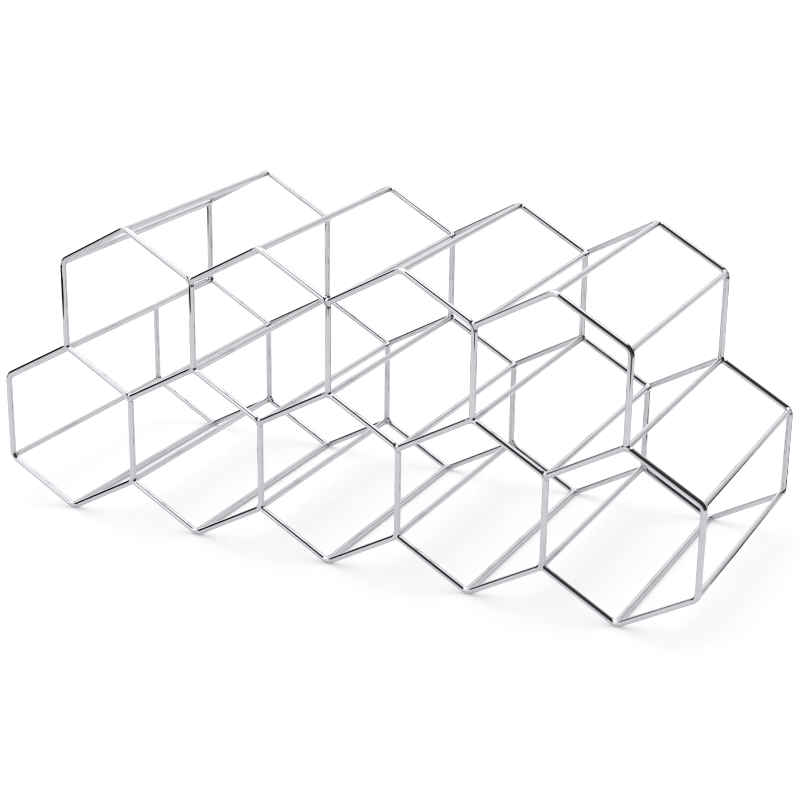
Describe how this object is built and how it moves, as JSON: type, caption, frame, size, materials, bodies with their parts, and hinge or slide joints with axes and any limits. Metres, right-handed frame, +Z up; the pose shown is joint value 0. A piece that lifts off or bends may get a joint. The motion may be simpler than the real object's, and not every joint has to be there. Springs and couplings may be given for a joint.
{
  "type": "wine rack",
  "caption": "Free-standing honeycomb rack of chromed wire that holds wine bottles lying down in two staggered rows.",
  "frame": {"origin": "middle of the footprint, on the surface that the rack stands on", "axes": "+X to the right along the row of bottles, +Y towards the rear lattice, +Z up; the front faces -Y"},
  "size_m": [0.494, 0.1866, 0.203],
  "materials": {
    "chrome_wire": "bright chrome plate on drawn steel wire"
  },
  "bodies": {
    "root": {"floor_rod_1": "chrome_wire", "floor_rod_2": "chrome_wire", "floor_rod_3": "chrome_wire", "floor_rod_4": "chrome_wire", "floor_rod_5": "chrome_wire", "front_bottom_cell_1_ring": "chrome_wire", "front_bottom_cell_2_wire": "chrome_wire", "front_bottom_cell_3_wire": "chrome_wire", "front_bottom_cell_4_wire": "chrome_wire", "front_bottom_cell_5_wire": "chrome_wire", "front_top_cell_1_arch": "chrome_wire", "front_top_cell_2_hook": "chrome_wire", "front_top_cell_3_hook": "chrome_wire", "front_top_cell_4_hook": "chrome_wire", "high_side_rod_1": "chrome_wire", "high_side_rod_2": "chrome_wire", "high_side_rod_3": "chrome_wire", "high_side_rod_4": "chrome_wire", "high_side_rod_5": "chrome_wire", "high_side_rod_6": "chrome_wire", "low_side_rod_1": "chrome_wire", "low_side_rod_2": "chrome_wire", "low_side_rod_3": "chrome_wire", "low_side_rod_4": "chrome_wire", "low_side_rod_5": "chrome_wire", "low_side_rod_6": "chrome_wire", "rear_bottom_cell_1_wire": "chrome_wire", "rear_bottom_cell_2_wire": "chrome_wire", "rear_bottom_cell_3_wire": "chrome_wire", "rear_bottom_cell_4_wire": "chrome_wire", "rear_bottom_cell_5_ring": "chrome_wire", "rear_top_cell_1_hook": "chrome_wire", "rear_top_cell_2_hook": "chrome_wire", "rear_top_cell_3_hook": "chrome_wire", "rear_top_cell_4_arch": "chrome_wire", "ridge_rod_1": "chrome_wire", "ridge_rod_2": "chrome_wire", "ridge_rod_3": "chrome_wire", "ridge_rod_4": "chrome_wire", "saddle_rod_1": "chrome_wire", "saddle_rod_2": "chrome_wire", "saddle_rod_3": "chrome_wire", "saddle_rod_4": "chrome_wire", "saddle_rod_5": "chrome_wire", "shoulder_rod_1": "chrome_wire", "shoulder_rod_2": "chrome_wire", "shoulder_rod_3": "chrome_wire", "shoulder_rod_4": "chrome_wire", "shoulder_rod_5": "chrome_wire"}
  },
  "joints": []
}
